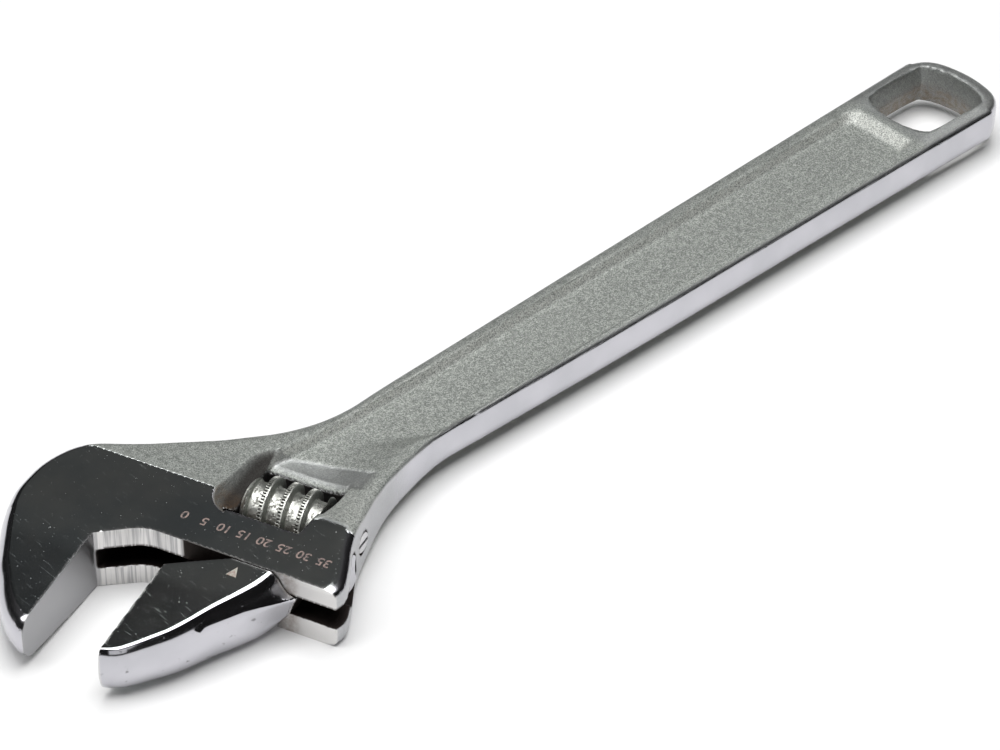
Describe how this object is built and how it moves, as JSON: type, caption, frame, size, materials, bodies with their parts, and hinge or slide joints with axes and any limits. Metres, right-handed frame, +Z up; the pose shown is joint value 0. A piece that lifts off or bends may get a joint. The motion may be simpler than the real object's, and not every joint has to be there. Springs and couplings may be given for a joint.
{
  "type": "adjustable wrench",
  "caption": "Adjustable wrench with a forged head and handle, a sliding lower jaw moved by a knurled worm, and a hanging hole at the handle's end.",
  "frame": {"origin": "on the surface that the wrench lies on, under the middle of its bounding box", "axes": "+X along the handle from the head to the hanging hole, +Y towards the fixed jaw's side, +Z up out of the head's ground face"},
  "size_m": [0.3048, 0.0814, 0.0164],
  "materials": {
    "forged_steel": "satin chrome plate over forged and blasted steel, with polished edges and ground head faces",
    "ground_steel": "ground and bright plated steel with fine scratches",
    "zinc_steel": "zinc plated, turned and knurled",
    "pin_steel": "turned steel with a screwdriver slot",
    "spring_steel": "drawn spring wire, lightly oiled"
  },
  "bodies": {
    "root": {"body": "forged_steel", "worm_pin": "pin_steel", "worm_spring": "spring_steel"},
    "jaw": {"sliding_jaw": "ground_steel"},
    "worm": {"adjusting_worm": "zinc_steel"}
  },
  "joints": [
    {"name": "jaw_slide", "type": "slide", "parent": "root", "child": "jaw", "axis": [0.342, -0.9397, 0], "range_m": [-0.0188, 0.0159]},
    {"name": "worm_spin", "type": "hinge", "parent": "root", "child": "worm", "pos_m": [-0.08323, -0.00684, 0.0082], "axis": [0.342, -0.9397, 0], "range_deg": [-1200, 1415]}
  ],
  "couplings": [
    {"joint": "worm_spin", "follows": "jaw_slide", "rad_per_m": -1309}
  ]
}
